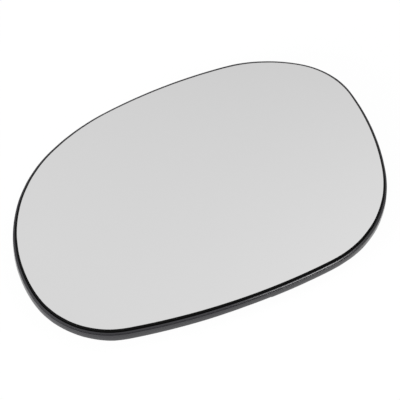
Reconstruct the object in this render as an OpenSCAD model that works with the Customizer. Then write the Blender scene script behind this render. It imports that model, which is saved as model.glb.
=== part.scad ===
// Glass of a car door mirror: a convex mirror stuck onto a moulded backing plate,
// which clips over the round head of the adjuster inside the mirror housing.
// It lies face up. X runs along the glass, Z points out of the reflecting face,
// and the origin is under the middle of the plate, on the axis of its clip socket.

/* [Outline of the glass, arc radii] */
// Radius of the top right corner
top_right_r = 33; // [32:0.5:34]
// Radius of the shoulder between the top right corner and the top edge
shoulder_r = 66; // [64:0.5:68]
// Radius of the flattest stretch of the top edge
top_r = 273; // [265:1:280]
// Radius where the top edge starts to fall to the left
top_left_r = 108; // [105:0.5:111]
// Radius of the broad left end
left_r = 65.5; // [64.5:0.25:66.5]
// Radius of the bottom left corner
bottom_left_r = 38; // [37:0.25:39]
// Radius of the bottom right corner
bottom_right_r = 54; // [53:0.25:55]

/* [Outline of the glass, directions in which the arcs end] */
// End of the right edge, where the top right corner starts
right_end = 3; // [2:0.5:4]
// End of the top right corner
top_right_end = 55; // [53:0.5:57]
// End of the shoulder
shoulder_end = 86.5; // [86:0.5:87.5]
// End of the flattest stretch of the top edge
top_end = 99.5; // [98.5:0.5:100.5]
// End of the falling stretch of the top edge
top_left_end = 117.5; // [116:0.5:119]
// End of the broad left end
left_end = 188.5; // [187:0.5:190]
// End of the bottom left corner
bottom_left_end = 257.5; // [256.5:0.5:258.5]
// End of the bottom edge
bottom_end = 277.5; // [276.5:0.5:278.5]
// End of the bottom right corner
bottom_right_end = 339.5; // [338:0.5:341]

/* [Glass and adhesive pad] */
// Radius of the convex reflecting face
face_r = 1300; // [1200:10:1600]
// Thickness of the glass
glass_t = 2; // [1.8:0.1:2.4]
// Width of the ground edge around the reflecting face
glass_bevel = 0.6; // [0.4:0.05:0.7]
// Thickness of the adhesive pad
pad_t = 0.8; // [0.6:0.1:1]
// How far the pad stays back from the edge of the glass
pad_inset = 1.5; // [1:0.1:4]

/* [Rim of the backing plate] */
// Air between the edge of the glass and the lip
lip_gap = 0.4; // [0.3:0.05:0.5]
// Thickness of the lip
lip_w = 0.85; // [0.7:0.05:1.2]
// How far the glass stands proud of the lip
glass_stand = 1.3; // [1.1:0.1:1.5]
// Height of the lip above the groove
lip_h = 0.75; // [0.6:0.05:0.9]
// Chamfer of the lip towards the glass
lip_chamfer = 0.1; // [0.05:0.05:0.2]
// Width of the groove under the lip
groove_h = 0.35; // [0.25:0.05:0.5]
// Depth of the groove under the lip
groove_d = 0.25; // [0.15:0.05:0.35]
// How far the wall under the groove spreads outwards
wall_flare = 0.2; // [0:0.05:0.3]
// Height of the rim, from the lip to its lower edge
rim_h = 3.7; // [3.5:0.1:4.5]
// Rounding of the edges of the rim
rim_round = 0.3; // [0.2:0.05:0.35]
// Direction of the step in the lower edge
step_dir = 271; // [266:0.5:274]
// Height of the step in the lower edge
step_h = 0.35; // [0.1:0.05:0.5]
// Direction in which the rim gets deeper
deep_dir = 245; // [240:1:250]
// Distance from the middle at which the rim starts to get deeper
deep_from = 57; // [54:1:60]
// Slope of the lower edge from there on
deep_slope = 0.061; // [0:0.005:0.08]

/* [Back of the backing plate] */
// Thickness of the web that carries the glass
web_t = 1.6; // [1.4:0.1:2]
// Thickness of the ribs
rib_t = 1.3; // [1:0.1:1.6]
// Depth of the ribs below the back of the web
rib_h = 2.4; // [2:0.1:3.5]
// Number of radial ribs
rib_count = 16; // [8:2:24]
// Distance of the outer rib loop from the edge of the glass
outer_loop_inset = 6; // [4:0.5:9]
// Distance of the inner rib loop from the edge of the glass
inner_loop_inset = 18; // [15:0.5:20]

/* [Clip socket] */
// Outer diameter of the guard ring that the part rests on
guard_d = 62; // [58:1:66]
// Thickness of the guard ring
guard_t = 2.2; // [1.8:0.1:3]
// Height of the part, from the guard ring's end to the middle of the glass
overall_h = 16; // [14:0.5:18]
// Diameter inside the beads of the snap fingers
bead_d = 45.4; // [44:0.1:46]
// How far the beads reach in from the fingers
bead_h = 0.8; // [0.5:0.1:1]
// Length of the straight part of a bead
bead_len = 1.4; // [1:0.1:2]
// Thickness of a snap finger
finger_t = 1.8; // [1.5:0.1:2.2]
// Width of a snap finger, in degrees around the socket
finger_span = 32; // [20:1:36]
// Number of snap fingers
finger_count = 8; // [4:1:8]
// How far the fingers end short of the guard ring
finger_setback = 1; // [0.5:0.1:2]
// Width of the two keys that stop the glass turning
key_w = 4; // [2:0.5:5]
// How far the keys end short of the guard ring
key_setback = 2; // [1:0.1:3]

/* [Hidden] */
$fn = 96;

// The outline is a closed chain of arcs, each tangent to the next. Arc i runs
// between two directions of its outward normal. The bottom edge and the right edge
// get the radii that close the chain.
bottom = 6;
right = 8;
ends = [
  top_right_end, shoulder_end, top_end, top_left_end, left_end,
  bottom_left_end, bottom_end, bottom_right_end, right_end + 360
];
given_r = [
  top_right_r, shoulder_r, top_r, top_left_r, left_r,
  bottom_left_r, 0, bottom_right_r, 0
];
arcs = len(ends);

function start(i) = i == 0 ? right_end : ends[i - 1];
function dir(a) = [cos(a), sin(a)];
function advance(i) = dir(ends[i]) - dir(start(i));
function sum(v, i = 0) = i == len(v) ? [0, 0] : v[i] + sum(v, i + 1);

open_end = -sum([for (i = [0:arcs - 1]) given_r[i] * advance(i)]);
bottom_step = advance(bottom);
right_step = advance(right);
turn = cross(bottom_step, right_step);
bottom_r = cross(open_end, right_step) / turn;
right_r = cross(bottom_step, open_end) / turn;
radii = [for (i = [0:arcs - 1]) i == bottom ? bottom_r : i == right ? right_r : given_r[i]];

// Centres of the arcs, moved so that the middle of the outline's box is the origin
function chained(i) = i == 0
  ? [0, 0]
  : chained(i - 1) + (radii[i - 1] - radii[i]) * dir(start(i));
chain = [for (i = [0:arcs - 1]) chained(i)];
x_max = chain[right][0] + radii[right];
x_min = chain[4][0] - radii[4];
y_max = chain[2][1] + radii[2];
y_min = chain[bottom][1] - radii[bottom];
centres = [for (c = chain) c - [x_max + x_min, y_max + y_min] / 2];

// Stations around the outline, each an arc and a direction, evenly spaced on each arc
// and closer where it turns fast. Two of them hold the step in the rim's lower edge.
station_count = 106;
widest_turn = 5;
step_run = 0.3;
lengths = [for (i = [0:arcs - 1]) radii[i] * (ends[i] - start(i))];
share = station_count / (lengths * [for (i = [0:arcs - 1]) 1]);
function run(i, from, to) =
  let (m = ceil((to - from) * max(1 / widest_turn, radii[i] * share)))
  [for (k = [0:m - 1]) [i, from + (to - from) * k / m]];
function arc_stations(i) = i == bottom
  ? concat(run(i, start(i), step_dir), run(i, step_dir, step_dir + step_run),
      run(i, step_dir + step_run, ends[i]))
  : run(i, start(i), ends[i]);
stations = [for (i = [0:arcs - 1]) each arc_stations(i)];

// A point of the outline grown by d
function plan(st, d) = centres[st[0]] + (radii[st[0]] + d) * dir(st[1]);
function sag(p) = (p * p) / (2 * face_r);

// Levels, measured down from the reflecting face
pad_top = -glass_t;
web_top = pad_top - pad_t;
web_back = web_top - web_t;
rib_root = web_top - web_t / 2;
rib_bottom = web_back - rib_h;
lip_top = -glass_stand;
groove_top = lip_top - lip_h;
rim_bottom = lip_top - rim_h;

// Sizes of the rim's section, measured out from the edge of the glass
lip_in = lip_gap;
lip_out = lip_gap + lip_w;
web_reach = lip_gap + lip_w / 2;
groove_taper = 0.05;

// The rim is deeper beyond a straight line across the bottom left corner
function deeper(p) = deep_slope * max(0, p * dir(deep_dir) - deep_from);
step_fade = 30;
function stepped(a) = a > step_dir ? step_h * max(0, 1 - (a - step_dir) / step_fade) : 0;
function lower_edge(st) = rim_bottom - deeper(plan(st, 0)) - stepped(st[1]);

// Section of the rim at a station: outwards from the glass, and down
function arc_points(c, r, from, to, m) =
  [for (k = [0:m]) c + r * dir(from + (to - from) * k / m)];
function rim_section(st) =
  let (low = lower_edge(st), r = rim_round, wall_out = lip_out + wall_flare)
  concat(
    [[lip_in, low + r], [lip_in, lip_top - lip_chamfer], [lip_in + lip_chamfer, lip_top]],
    arc_points([lip_out - r, lip_top - r], r, 90, 0, 2),
    [
      [lip_out, groove_top],
      [lip_out - groove_d, groove_top - groove_taper],
      [lip_out - groove_d, groove_top - groove_h],
      [lip_out, groove_top - groove_h - groove_taper]
    ],
    arc_points([wall_out - r, low + r], r, 0, -90, 2),
    [[lip_in + r, low]]
  );

// Section of the wedge that grinds the edge of the reflecting face
cut = 0.3;
bevel_section = [[-glass_bevel - cut, cut], [cut, cut], [cut, -glass_bevel - cut]];

// A closed ring around the outline that follows the curve of the glass
module ring(sections) {
  n = len(stations);
  m = len(sections[0]);
  points = [
    for (k = [0:n - 1]) for (s = sections[k])
      let (p = plan(stations[k], s[0])) [p[0], p[1], overall_h + s[1] - sag(p)]
  ];
  faces = [
    for (k = [0:n - 1]) for (j = [0:m - 1])
      let (k2 = (k + 1) % n, j2 = (j + 1) % m)
        [k * m + j, k2 * m + j, k2 * m + j2, k * m + j2]
  ];
  polyhedron(points, faces);
}

// An upright prism on the outline grown by d
module prism(d) {
  linear_extrude(2 * overall_h)
    polygon([for (st = stations) plan(st, d)]);
}

// Everything below a level that follows the curve of the glass
module dome(level) {
  translate([0, 0, overall_h + level - face_r])
    rotate([90, 0, 0])
      sphere(face_r, $fn = 256);
}

// The stretch of its children between two levels
module between(top, low) {
  intersection() {
    union()
      children();
    difference() {
      dome(top);
      dome(low);
    }
  }
}

module mirror_glass() {
  color([0.82, 0.83, 0.84])
    difference() {
      between(0, pad_top)
        prism(0);
      ring([for (st = stations) bevel_section]);
    }
}

module adhesive_pad() {
  color([0.25, 0.25, 0.27])
    between(pad_top, web_top)
      prism(-pad_inset);
}

// A rib that follows the outline
module loop(inset) {
  section = [
    [-inset - rib_t, rib_bottom], [-inset - rib_t, rib_root], [-inset, rib_root], [-inset, rib_bottom]
  ];
  ring([for (st = stations) section]);
}

// Distance from the origin to the outline grown by d, in a direction
function reach(a, d) =
  let (hits = [
    for (i = [0:arcs - 1])
      let (
        along = dir(a) * centres[i],
        t = along + sqrt(max(0, along * along - centres[i] * centres[i] + pow(radii[i] + d, 2))),
        p = t * dir(a) - centres[i],
        past = (atan2(p[1], p[0]) - start(i) + 720) % 360
      )
      if (past <= ends[i] - start(i)) t
  ])
  hits[0];

// A rib from the guard ring to the outer loop, in a direction
module spoke(a) {
  from_r = (guard_d - guard_t) / 2;
  to_r = reach(a, -outer_loop_inset - rib_t / 2);
  steps = 4;
  places = [for (k = [0:steps]) from_r + (to_r - from_r) * k / steps];
  rotate(a)
    rotate([90, 0, 0])
      linear_extrude(rib_t, center = true)
        polygon(concat(
          [for (r = places) [r, overall_h + rib_root - sag([r])]],
          [for (k = [steps:-1:0]) [places[k], overall_h + rib_bottom - sag([places[k]])]]
        ));
}

// Where the socket's walls end, halfway through the web
root_z = overall_h + (web_top + web_back) / 2;

module guard_ring() {
  difference() {
    cylinder(h = root_z, d = guard_d);
    translate([0, 0, -cut])
      cylinder(h = root_z + 2 * cut, d = guard_d - 2 * guard_t);
  }
}

// A snap finger with a bead at its end, chamfered on both sides of the straight part
module finger() {
  bead_r = bead_d / 2;
  inner_r = bead_r + bead_h;
  z0 = finger_setback;
  rotate(-finger_span / 2)
    rotate_extrude(angle = finger_span)
      polygon([
        [inner_r + finger_t, z0],
        [inner_r + finger_t, root_z],
        [inner_r, root_z],
        [inner_r, z0 + 2 * bead_h + bead_len],
        [bead_r, z0 + bead_h + bead_len],
        [bead_r, z0 + bead_h],
        [inner_r, z0]
      ]);
}

module key() {
  key_in = bead_d / 2 + bead_h;
  key_out = guard_d / 2 - guard_t / 2;
  translate([key_in, -key_w / 2, key_setback])
    cube([key_out - key_in, key_w, root_z - key_setback]);
}

module socket() {
  pitch = 360 / finger_count;
  guard_ring();
  for (k = [0:finger_count - 1])
    rotate(pitch * (k + 0.5))
      finger();
  for (a = [0, 180])
    rotate(a)
      key();
}

module backing_plate() {
  color([0.1, 0.1, 0.11]) {
    ring([for (st = stations) rim_section(st)]);
    between(web_top, web_back)
      prism(web_reach);
    loop(outer_loop_inset);
    loop(inner_loop_inset);
    for (k = [0:rib_count - 1])
      spoke(360 * (k + 0.5) / rib_count);
    socket();
  }
}

mirror_glass();
adhesive_pad();
backing_plate();
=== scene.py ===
# Car door mirror glass, face up on a pale floor: the finish of its surfaces, the light and the view.
import math

import bmesh
import bpy
from mathutils import Matrix, Vector


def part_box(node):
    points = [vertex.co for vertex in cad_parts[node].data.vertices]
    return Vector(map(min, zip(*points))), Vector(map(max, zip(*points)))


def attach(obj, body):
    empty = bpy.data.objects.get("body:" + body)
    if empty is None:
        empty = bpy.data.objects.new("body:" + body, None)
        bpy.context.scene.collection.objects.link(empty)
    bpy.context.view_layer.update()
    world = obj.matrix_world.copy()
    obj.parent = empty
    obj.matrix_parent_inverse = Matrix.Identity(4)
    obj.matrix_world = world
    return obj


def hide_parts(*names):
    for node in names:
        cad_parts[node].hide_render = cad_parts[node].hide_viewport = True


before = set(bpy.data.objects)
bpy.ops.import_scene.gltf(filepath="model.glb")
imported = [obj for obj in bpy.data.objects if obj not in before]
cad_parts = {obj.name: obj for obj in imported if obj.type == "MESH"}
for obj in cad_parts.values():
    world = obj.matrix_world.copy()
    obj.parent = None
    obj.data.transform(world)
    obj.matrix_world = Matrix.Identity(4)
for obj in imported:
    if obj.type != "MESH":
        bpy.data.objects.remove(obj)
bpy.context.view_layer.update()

MM = 0.001

# Glass, as in the solid that the new piece follows
FACE_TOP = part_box("mirror_glass")[1].z
FACE_RADIUS = 1300 * MM
GLASS_THICKNESS = 2 * MM
BEVEL = 0.6 * MM

# Section of the rim, outwards from the edge of the glass and down from its face
LIP_INNER = 0.34 * MM
LIP_OUTER = 1.12 * MM
LIP_TOP = 1.15 * MM
LIP_FALL = 0.15 * MM
LIP_ROUND = 0.2 * MM
LIP_ROUND_START = 73
EDGE_ROUND = 0.08 * MM
GROOVE_TOP = 1.5 * MM
GROOVE_FLOOR = 0.65 * MM
GROOVE_HEIGHT = 0.4 * MM
GROOVE_TAPER = 0.05 * MM
WALL_TOP_OUTER = 1.25 * MM
WALL_OUTER = 1.45 * MM
WALL_INNER = 0.32 * MM
WALL_INNER_TOP = 2.5 * MM
RIM_BOTTOM = 5.0 * MM
RIM_ROUND = 0.12 * MM

# Where the solid plate is cut off for the new rim, and the box that it fills
CUT_OFF = 0.36 * MM
plate_low, plate_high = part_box("backing_plate")

# Headings are directions out of the outline, in degrees. The lip is wider along the top right
WIDE_FROM = 5
WIDE_TO = 100
WIDE_FADE = 17
WIDE_LIP = 0.33 * MM

# Lower edge of the rim at the bottom left: deeper beyond a line across the corner, from a heading on
DEEPER_TOWARDS = math.radians(245)
DEEPER_FROM = 57 * MM
DEEPER_SLOPE = 0.061
DEEPER_START = 220
DEEPER_FADE = 30

# Lower edge of the rim along the bottom: it rises up to a small step, starts again and rises beyond it
STEP_HEADING = 271
STEP_START = -25 * MM
STEP_LENGTH = 30 * MM
STEP_HEIGHT = 0.38 * MM
BEYOND_TO = 296
BEYOND_FADE = 12
BEYOND_RISE = 0.55 * MM

# Lip and groove along the bottom right, where they lie higher
HIGHER_START = -30 * MM
HIGHER_LENGTH = 25 * MM
HIGHER_TO = 304
HIGHER_FADE = 12
HIGHER_RISE = 0.3 * MM

# How finely the new pieces are divided, and where two corners count as one
CORNER_SPACING = 2 * MM
OUTLINE_STEPS = 6
FACE_RINGS = 24
EDGE_STEPS = 3
LIP_STEPS = 6
FOOT_OUTER_STEPS = 5
FOOT_INNER_STEPS = 4
SHARP_ANGLE = math.radians(32)
SAME_PLACE = 0.0001 * MM
SAME_DECIMALS = 7

# Order of the materials on the new pieces
FACE, GROUND = 0, 1
BODY, RIM = 0, 1

# View of the photograph, in the part's frame
VIEW_ELEVATION = 55.0
VIEW_AZIMUTH = -27.5
VIEW_ROLL = 3.5
VIEW_DISTANCE = 800 * MM
VIEW_TARGET = Vector((-2.38, -5.22, 14.0)) * MM
IMAGE_WIDTH = 400
FOCAL_PIXELS = 1791
SENSOR_WIDTH = 36.0

# Tone of the studio in reflections: overhead, its rise to both sides and its fall to the corners
STUDIO_LEVEL = 0.955
STUDIO_SIDES = 0.68
STUDIO_CORNERS = -1.464

# The unlit side of the studio, behind the camera: its share of the tone and how wide it is
DARK_LEVEL = 0.3
DARK_FROM = 0.8
DARK_TO = 0.92

# What lights the part from all round, and how white the floor shows
AMBIENT_LEVEL = 0.7
FLOOR_WHITE = 0.965
FLOOR_HALF = 6


def node_tree(name):
    """A new material, its empty tree and its output."""
    material = bpy.data.materials.new(name)
    material.use_nodes = True
    tree = material.node_tree
    tree.nodes.clear()
    return material, tree, add(tree, "ShaderNodeOutputMaterial")


def add(tree, kind, **settings):
    """A new node with its settings."""
    node = tree.nodes.new(kind)
    for key, value in settings.items():
        setattr(node, key, value)
    return node


def feed(tree, socket, source):
    """An input gets its value from a node's output, or a fixed value."""
    if isinstance(source, bpy.types.NodeSocket):
        tree.links.new(source, socket)
    else:
        socket.default_value = source


def noise(tree, scale, detail=3.0, roughness=0.5):
    """Noise in the part's own metres."""
    place = add(tree, "ShaderNodeTexCoord")
    texture = add(tree, "ShaderNodeTexNoise")
    feed(tree, texture.inputs["Scale"], scale)
    feed(tree, texture.inputs["Detail"], detail)
    feed(tree, texture.inputs["Roughness"], roughness)
    feed(tree, texture.inputs["Vector"], place.outputs["Object"])
    return texture.outputs["Fac"]


def ramp(tree, source, low, high, start=0.35, end=0.65):
    """A level from low to high while a source goes from start to end."""
    node = add(tree, "ShaderNodeMapRange")
    feed(tree, node.inputs["From Min"], start)
    feed(tree, node.inputs["From Max"], end)
    feed(tree, node.inputs["To Min"], low)
    feed(tree, node.inputs["To Max"], high)
    feed(tree, node.inputs["Value"], source)
    return node.outputs["Result"]


def tint(tree, source, dark, light):
    """A colour between two, by a source from 0 to 1."""
    node = add(tree, "ShaderNodeMix", data_type="RGBA")
    feed(tree, node.inputs["A"], (*dark, 1))
    feed(tree, node.inputs["B"], (*light, 1))
    feed(tree, node.inputs["Factor"], source)
    return node.outputs["Result"]


def bump(tree, source, strength, distance):
    """Fine relief from a source."""
    node = add(tree, "ShaderNodeBump")
    feed(tree, node.inputs["Strength"], strength)
    feed(tree, node.inputs["Distance"], distance)
    feed(tree, node.inputs["Height"], source)
    return node.outputs["Normal"]


def worked_out(tree, operation, *sources):
    """The result of a calculation on outputs of nodes and fixed values."""
    node = add(tree, "ShaderNodeMath", operation=operation)
    for socket, source in zip(node.inputs, sources):
        feed(tree, socket, source)
    return node.outputs["Value"]


def mixed(tree, factor, first, second):
    """The first shader where the factor is 0, the second where it is 1."""
    node = add(tree, "ShaderNodeMixShader")
    feed(tree, node.inputs["Fac"], factor)
    feed(tree, node.inputs[1], first)
    feed(tree, node.inputs[2], second)
    return node.outputs["Shader"]


def coat(tree, output, inputs):
    """The surface of a material, by the inputs that differ from the usual ones."""
    shader = add(tree, "ShaderNodeBsdfPrincipled")
    for name, source in inputs.items():
        feed(tree, shader.inputs[name], source)
    feed(tree, output.inputs["Surface"], shader.outputs["BSDF"])


def mirror_material():
    """The coating seen through clear glass: an even mirror with the faintest haze."""
    material, tree, output = node_tree("mirror_face")
    haze = noise(tree, 35, 2)
    coat(tree, output, {
        "Base Color": tint(tree, haze, (0.706, 0.705, 0.706), (0.714, 0.713, 0.714)),
        "Metallic": 1.0,
        "Roughness": ramp(tree, haze, 0.012, 0.03),
    })
    return material


def ground_edge_material():
    """Ground glass over the black back paint, which shows nearly black."""
    material, tree, output = node_tree("ground_glass_edge")
    grain = noise(tree, 4000, 4)
    coat(tree, output, {
        "Base Color": tint(tree, grain, (0.002, 0.002, 0.002), (0.004, 0.004, 0.004)),
        "Roughness": ramp(tree, grain, 0.4, 0.6),
        "Normal": bump(tree, grain, 0.15, 0.02 * MM),
        "Specular IOR Level": 0.03,
    })
    return material


def plastic_material(name, low_roughness, high_roughness, relief):
    """Black moulded plastic with a fine texture and slightly uneven gloss."""
    material, tree, output = node_tree(name)
    patches = noise(tree, 60, 3)
    grain = noise(tree, 2600, 5, 0.6)
    coat(tree, output, {
        "Base Color": tint(tree, patches, (0.012, 0.0115, 0.014), (0.018, 0.0175, 0.02)),
        "Roughness": ramp(tree, patches, low_roughness, high_roughness),
        "Normal": bump(tree, grain, relief, 0.03 * MM),
        "Specular IOR Level": 0.42,
    })
    return material


def foam_material():
    """Closed-cell foam: small round cells, quite matt."""
    material, tree, output = node_tree("adhesive_foam")
    place = add(tree, "ShaderNodeTexCoord")
    cells = add(tree, "ShaderNodeTexVoronoi")
    feed(tree, cells.inputs["Scale"], 2200)
    feed(tree, cells.inputs["Vector"], place.outputs["Object"])
    distance = cells.outputs["Distance"]
    coat(tree, output, {
        "Base Color": tint(tree, distance, (0.02, 0.02, 0.022), (0.06, 0.06, 0.065)),
        "Roughness": ramp(tree, distance, 0.8, 0.95, 0, 1),
        "Normal": bump(tree, distance, 0.6, 0.1 * MM),
    })
    return material


def hull_outline(points):
    """The convex outline of a node seen from above, counter-clockwise."""
    ordered = sorted({(round(p.x, SAME_DECIMALS), round(p.y, SAME_DECIMALS)) for p in points})

    def half(sequence):
        chain = []
        for x, y in sequence:
            while len(chain) > 1:
                (ax, ay), (bx, by) = chain[-2:]
                if (bx - ax) * (y - ay) - (by - ay) * (x - ax) > 0:
                    break
                chain.pop()
            chain.append((x, y))
        return chain[:-1]

    return [Vector(p) for p in half(ordered) + half(reversed(ordered))]


def smooth_closed(points, steps):
    """A closed smooth curve through points, with steps new points to each span."""
    count = len(points)
    spans = [(points[(i + 1) % count] - points[i]).length for i in range(count)]
    slopes = []
    for i in range(count):
        before, after = spans[i - 1], spans[i]
        towards = (points[i] - points[i - 1]) / before
        onwards = (points[(i + 1) % count] - points[i]) / after
        slopes.append((towards * after + onwards * before) / (before + after))
    curve = []
    for i in range(count):
        after = (i + 1) % count
        for step in range(steps):
            t = step / steps
            curve.append(
                (2 * t**3 - 3 * t**2 + 1) * points[i]
                + (t**3 - 2 * t**2 + t) * spans[i] * slopes[i]
                + (3 * t**2 - 2 * t**3) * points[after]
                + (t**3 - t**2) * spans[i] * slopes[after]
            )
    return curve


def spaced(points, least):
    """The points without those that lie closer than least to the one before."""
    kept = [points[0]]
    for point in points[1:]:
        if (point - kept[-1]).length > least:
            kept.append(point)
    return kept


def outward(curve):
    """The directions out of a counter-clockwise curve at its points."""
    count = len(curve)
    sides = []
    for i in range(count):
        along = (curve[(i + 1) % count] - curve[i - 1]).normalized()
        sides.append(Vector((along.y, -along.x)))
    return sides


def glass_outline():
    """The edge of the glass as a smooth closed curve."""
    solid = bpy.data.objects["mirror_glass"].data
    corners = spaced(hull_outline([v.co for v in solid.vertices]), CORNER_SPACING)
    return smooth_closed(corners, OUTLINE_STEPS)


def face_height(point, depth):
    """Height of the curved face, or of a level below it, over a point."""
    return FACE_TOP - depth - point.length_squared / (2 * FACE_RADIUS)


def placed(name, data):
    """A new object of the scene."""
    item = bpy.data.objects.new(name, data)
    bpy.context.scene.collection.objects.link(item)
    return item


def mesh_object(name, mesh, materials):
    """A new object of a mesh, which is used up."""
    data = bpy.data.meshes.new(name)
    mesh.to_mesh(data)
    mesh.free()
    for material in materials:
        data.materials.append(material)
    return placed(name, data)


def replacement(name, mesh, materials, node):
    """A new piece that takes the place of a solid."""
    piece = mesh_object(name, mesh, materials)
    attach(piece, "root")
    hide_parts(node)


def glass_piece(outline, materials):
    """The glass with a finely divided face, so that its reflection is smooth, and a true ground edge."""
    shoulder = [point - side * BEVEL for point, side in zip(outline, outward(outline))]
    mesh = bmesh.new()

    def ring(curve, depth):
        return [mesh.verts.new((p.x, p.y, face_height(p, depth))) for p in curve]

    def facet(corners, material):
        face = mesh.faces.new(corners)
        face.material_index = material
        face.smooth = True

    def skirt(outer, inner, material):
        for i in range(len(outer)):
            j = (i + 1) % len(outer)
            facet((inner[i], outer[i], outer[j], inner[j]), material)

    def dome(edge, curve, depth, material):
        outer = edge
        for step in range(1, FACE_RINGS):
            scale = 1 - step / FACE_RINGS
            inner = ring([p * scale for p in curve], depth)
            skirt(outer, inner, material)
            outer = inner
        centre = mesh.verts.new((0, 0, face_height(Vector((0, 0)), depth)))
        for i in range(len(outer)):
            facet((centre, outer[i], outer[(i + 1) % len(outer)]), material)

    top = ring(shoulder, 0)
    side = ring(outline, BEVEL)
    foot = ring(outline, GLASS_THICKNESS)
    dome(top, shoulder, 0, FACE)
    skirt(side, top, GROUND)
    skirt(foot, side, GROUND)
    dome(foot, outline, GLASS_THICKNESS, GROUND)
    bmesh.ops.recalc_face_normals(mesh, faces=mesh.faces)
    for curve in (top, side, foot):
        for i in range(len(curve)):
            mesh.edges.get((curve[i - 1], curve[i])).smooth = False
    replacement("glass_sheet", mesh, materials, "mirror_glass")


def arc(centre, radius, start, end, steps):
    """Points of an arc between two directions in degrees."""
    points = []
    for step in range(steps + 1):
        angle = math.radians(start + (end - start) * step / steps)
        points.append((centre[0] + radius * math.cos(angle), centre[1] + radius * math.sin(angle)))
    return points


def clamped(value):
    """A value kept between 0 and 1."""
    return max(0, min(1, value))


def lower_edge(point, heading):
    """Level of the rim's lower edge at a point of the outline."""
    across = point.dot(Vector((math.cos(DEEPER_TOWARDS), math.sin(DEEPER_TOWARDS))))
    fade = clamped((heading - DEEPER_START) / DEEPER_FADE)
    level = -RIM_BOTTOM - DEEPER_SLOPE * max(0, across - DEEPER_FROM) * fade
    if point.y < 0 and heading < STEP_HEADING:
        level += STEP_HEIGHT * clamped((point.x - STEP_START) / STEP_LENGTH)
    elif point.y < 0:
        rising = clamped((heading - STEP_HEADING) / BEYOND_FADE)
        falling = clamped((BEYOND_TO - heading) / BEYOND_FADE)
        level += BEYOND_RISE * (rising * falling)
    return level


def lip_rise(point, heading):
    """How much higher the lip and the groove lie at a point of the outline."""
    if point.y >= 0:
        return 0
    fade = clamped((HIGHER_TO - heading) / HIGHER_FADE)
    return HIGHER_RISE * clamped((point.x - HIGHER_START) / HIGHER_LENGTH) * fade


def rim_section(point, side):
    """The rim's section at a point of the outline: outwards and up from the edge of the glass."""
    heading = math.degrees(math.atan2(side.y, side.x)) % 360
    wide = clamped(min(heading - WIDE_FROM, WIDE_TO - heading) / WIDE_FADE)
    lip_outer = LIP_OUTER + WIDE_LIP * wide
    rise = lip_rise(point, heading)
    lip_top = rise - LIP_TOP
    lip_centre = (lip_outer - LIP_ROUND, lip_top - LIP_FALL - LIP_ROUND)
    groove_top = rise - GROOVE_TOP
    groove_end = groove_top - GROOVE_HEIGHT
    wall_top = groove_end - GROOVE_TAPER
    foot = lower_edge(point, heading) + RIM_ROUND
    return [
        (WALL_INNER, -WALL_INNER_TOP),
        (LIP_INNER, groove_end),
        *arc((LIP_INNER + EDGE_ROUND, lip_top - EDGE_ROUND), EDGE_ROUND, 180, 90, EDGE_STEPS),
        *arc(lip_centre, LIP_ROUND, LIP_ROUND_START, 0, LIP_STEPS),
        *arc((lip_outer - EDGE_ROUND, groove_top + EDGE_ROUND), EDGE_ROUND, 0, -90, EDGE_STEPS),
        (GROOVE_FLOOR, groove_top - GROOVE_TAPER),
        (GROOVE_FLOOR, groove_end),
        *arc((WALL_TOP_OUTER - EDGE_ROUND, wall_top - EDGE_ROUND), EDGE_ROUND, 90, 0, EDGE_STEPS),
        *arc((WALL_OUTER - RIM_ROUND, foot), RIM_ROUND, 0, -90, FOOT_OUTER_STEPS),
        *arc((WALL_INNER + RIM_ROUND, foot), RIM_ROUND, -90, -180, FOOT_INNER_STEPS),
    ]


def working_solid(mesh, materials, material):
    """An object of a closed mesh in one of the materials, to be joined with another or cut by it."""
    for face in mesh.faces:
        face.material_index = material
    return mesh_object("working_solid", mesh, materials)


def combined(shape, other, operation):
    """The union or the common part of two closed objects, which are used up."""
    boolean = shape.modifiers.new(operation, "BOOLEAN")
    boolean.operation = operation
    boolean.solver = "EXACT"
    boolean.object = other
    mesh = bmesh.new()
    mesh.from_object(shape, bpy.context.evaluated_depsgraph_get())
    for used in (shape, other):
        data = used.data
        bpy.data.objects.remove(used)
        bpy.data.meshes.remove(data)
    return mesh


def solid_mesh(node):
    """The faces of a solid of the frame, joined at their corners."""
    source = bpy.data.objects[node].data
    data = bpy.data.meshes.new(node + "_faces")
    data.from_pydata([v.co for v in source.vertices], [], [p.vertices for p in source.polygons])
    mesh = bmesh.new()
    mesh.from_mesh(data)
    bpy.data.meshes.remove(data)
    bmesh.ops.remove_doubles(mesh, verts=mesh.verts, dist=SAME_PLACE)
    return mesh


def prism_mesh(outline, sides, offset):
    """An upright prism on the outline grown by an offset, higher than the part."""
    curve = [point + side * offset for point, side in zip(outline, sides)]
    mesh = bmesh.new()
    low, high = ([mesh.verts.new((p.x, p.y, z)) for p in curve] for z in (-MM, FACE_TOP + MM))
    for i in range(len(curve)):
        mesh.faces.new((low[i - 1], low[i], high[i], high[i - 1]))
    mesh.faces.new(low[::-1])
    mesh.faces.new(high)
    return mesh


def rim_mesh(outline, sides):
    """The rim as a closed ring, inside the box of the solid plate."""
    mesh = bmesh.new()
    rows = []
    for point, side in zip(outline, sides):
        row = []
        for offset, level in rim_section(point, side):
            p = point + side * offset
            x = min(max(p.x, plate_low.x), plate_high.x)
            y = min(max(p.y, plate_low.y), plate_high.y)
            row.append(mesh.verts.new((x, y, face_height(p, -level))))
        rows.append(row)
    for i, row in enumerate(rows):
        before = rows[i - 1]
        for j in range(len(row)):
            mesh.faces.new((before[j - 1], row[j - 1], row[j], before[j]))
    bmesh.ops.recalc_face_normals(mesh, faces=mesh.faces)
    return mesh


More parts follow.
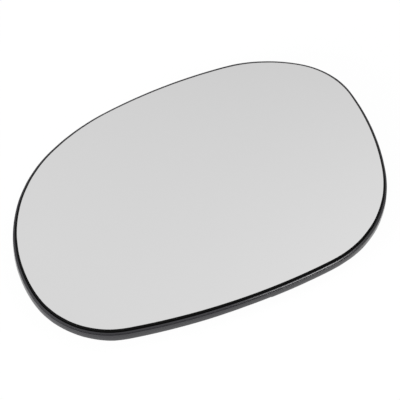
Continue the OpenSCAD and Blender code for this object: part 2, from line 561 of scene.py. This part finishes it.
def plate_piece(outline, materials):
    """The moulded plate: web, ribs and socket of the solid, and a finely divided rim with rounded edges."""
    sides = outward(outline)
    plate = working_solid(solid_mesh("backing_plate"), materials, BODY)
    inside = working_solid(prism_mesh(outline, sides, CUT_OFF), materials, BODY)
    core = working_solid(combined(plate, inside, "INTERSECT"), materials, BODY)
    mesh = combined(core, working_solid(rim_mesh(outline, sides), materials, RIM), "UNION")
    for face in mesh.faces:
        face.smooth = True
    for edge in mesh.edges:
        edge.smooth = edge.calc_face_angle() < SHARP_ANGLE
    replacement("plate_moulding", mesh, materials, "backing_plate")


def dress(node, material):
    """A solid of the frame keeps its shape and gets a finish."""
    slots = bpy.data.objects[node].data.materials
    slots.clear()
    slots.append(material)


def seen_directly(tree, rays):
    """1 for what the camera sees itself or through glass, and 0 for other light."""
    return worked_out(tree, "MAXIMUM", rays["Is Camera Ray"], rays["Is Transmission Ray"])


def floor_material():
    """White to the camera and in reflections, with a faint shadow kept, and clear when seen from below."""
    material, tree, output = node_tree("pale_floor")
    paint = add(tree, "ShaderNodeBsdfDiffuse")
    feed(tree, paint.inputs["Color"], tint(tree, noise(tree, 3, 2), (0.78, 0.78, 0.78), (0.82, 0.82, 0.82)))
    glow = add(tree, "ShaderNodeEmission")
    rays = add(tree, "ShaderNodeLightPath").outputs
    shown = worked_out(tree, "MAXIMUM", seen_directly(tree, rays), rays["Is Glossy Ray"])
    white = worked_out(tree, "MULTIPLY", shown, FLOOR_WHITE)
    upper = mixed(tree, white, paint.outputs["BSDF"], glow.outputs["Emission"])
    clear = add(tree, "ShaderNodeBsdfTransparent")
    side = add(tree, "ShaderNodeNewGeometry")
    both = mixed(tree, side.outputs["Backfacing"], upper, clear.outputs["BSDF"])
    feed(tree, output.inputs["Surface"], both)
    return material


def floor():
    """A wide square floor that the part rests on."""
    data = bpy.data.meshes.new("floor")
    corners = [(x * FLOOR_HALF, y * FLOOR_HALF, 0) for x, y in ((-1, -1), (1, -1), (1, 1), (-1, 1))]
    data.from_pydata(corners, [], [(0, 1, 2, 3)])
    data.materials.append(floor_material())
    plane = placed("floor", data)


def view_axes():
    """The camera's axes before its roll: to the right, upwards and from the part to the camera."""
    elevation = math.radians(VIEW_ELEVATION)
    right = Vector((1, 0, 0))
    towards = Vector((0, -math.cos(elevation), math.sin(elevation)))
    turn = Matrix.Rotation(math.radians(VIEW_AZIMUTH), 3, "Z")
    return turn @ Matrix((right, towards.cross(right), towards)).transposed()


def background(tree, strength):
    """White light from all round."""
    node = add(tree, "ShaderNodeBackground")
    feed(tree, node.inputs["Color"], (1, 1, 1, 1))
    feed(tree, node.inputs["Strength"], strength)
    return node.outputs["Background"]


def studio_tone(tree):
    """How bright the studio is in reflections, by direction."""
    direction = add(tree, "ShaderNodeTexCoord").outputs["Generated"]
    axes = add(tree, "ShaderNodeSeparateXYZ")
    feed(tree, axes.inputs["Vector"], direction)
    across = worked_out(tree, "ABSOLUTE", axes.outputs["X"])
    along = worked_out(tree, "ABSOLUTE", axes.outputs["Y"])
    slope = worked_out(tree, "MULTIPLY_ADD", along, STUDIO_CORNERS, STUDIO_SIDES)
    level = worked_out(tree, "MULTIPLY_ADD", across, slope, STUDIO_LEVEL)
    capped = worked_out(tree, "MINIMUM", level, 1)
    behind = add(tree, "ShaderNodeVectorMath", operation="DOT_PRODUCT")
    feed(tree, behind.inputs[0], direction)
    feed(tree, behind.inputs[1], view_axes().col[2])
    dark = ramp(tree, behind.outputs["Value"], 1, DARK_LEVEL, DARK_FROM, DARK_TO)
    return worked_out(tree, "MULTIPLY", capped, dark)


def studio():
    """White behind the part, the studio's tone in reflections, and a softer level that lights the part."""
    world = bpy.data.worlds.new("studio")
    bpy.context.scene.world = world
    world.use_nodes = True
    tree = world.node_tree
    tree.nodes.clear()
    output = add(tree, "ShaderNodeOutputWorld")
    rays = add(tree, "ShaderNodeLightPath").outputs
    mirrored = background(tree, studio_tone(tree))
    lighting = mixed(tree, rays["Is Glossy Ray"], background(tree, AMBIENT_LEVEL), mirrored)
    whole = mixed(tree, seen_directly(tree, rays), lighting, background(tree, 1))
    feed(tree, output.inputs["Surface"], whole)


def soft_light(name, place, size, power, mirrored):
    """A square softbox that faces the part, itself mirrored or not."""
    lamp = bpy.data.lights.new(name, "AREA")
    lamp.size = size
    lamp.energy = power
    holder = placed(name, lamp)
    holder.location = place
    holder.rotation_euler = (-Vector(place)).to_track_quat("-Z", "Y").to_euler()
    holder.visible_glossy = mirrored


def camera():
    """The camera of the photograph."""
    axes = view_axes()
    roll = Matrix.Rotation(math.radians(VIEW_ROLL), 3, "Z")
    place = VIEW_TARGET + VIEW_DISTANCE * axes.col[2]
    lens = bpy.data.cameras.new("camera")
    lens.sensor_width = SENSOR_WIDTH
    lens.lens = SENSOR_WIDTH * FOCAL_PIXELS / IMAGE_WIDTH
    holder = placed("camera", lens)
    holder.matrix_world = Matrix.Translation(place) @ (axes @ roll).to_4x4()
    bpy.context.scene.camera = holder


bpy.context.scene.view_settings.view_transform = "Standard"
camera()
dress("adhesive_pad", foam_material())
edge_of_glass = glass_outline()
glass_piece(edge_of_glass, [mirror_material(), ground_edge_material()])
plate_piece(edge_of_glass, [
    plastic_material("moulded_plastic", low_roughness=0.36, high_roughness=0.48, relief=0.3),
    plastic_material("polished_plastic", low_roughness=0.16, high_roughness=0.22, relief=0.1),
])
floor()
studio()
soft_light("left_softbox", (-1.2, -0.3, 0.4), size=0.6, power=28, mirrored=False)
soft_light("right_softbox", (0.5, -0.78, 0.6), size=0.35, power=3, mirrored=False)
soft_light("top_softbox", (0.44, -0.112, 1.0), size=0.25, power=3, mirrored=True)
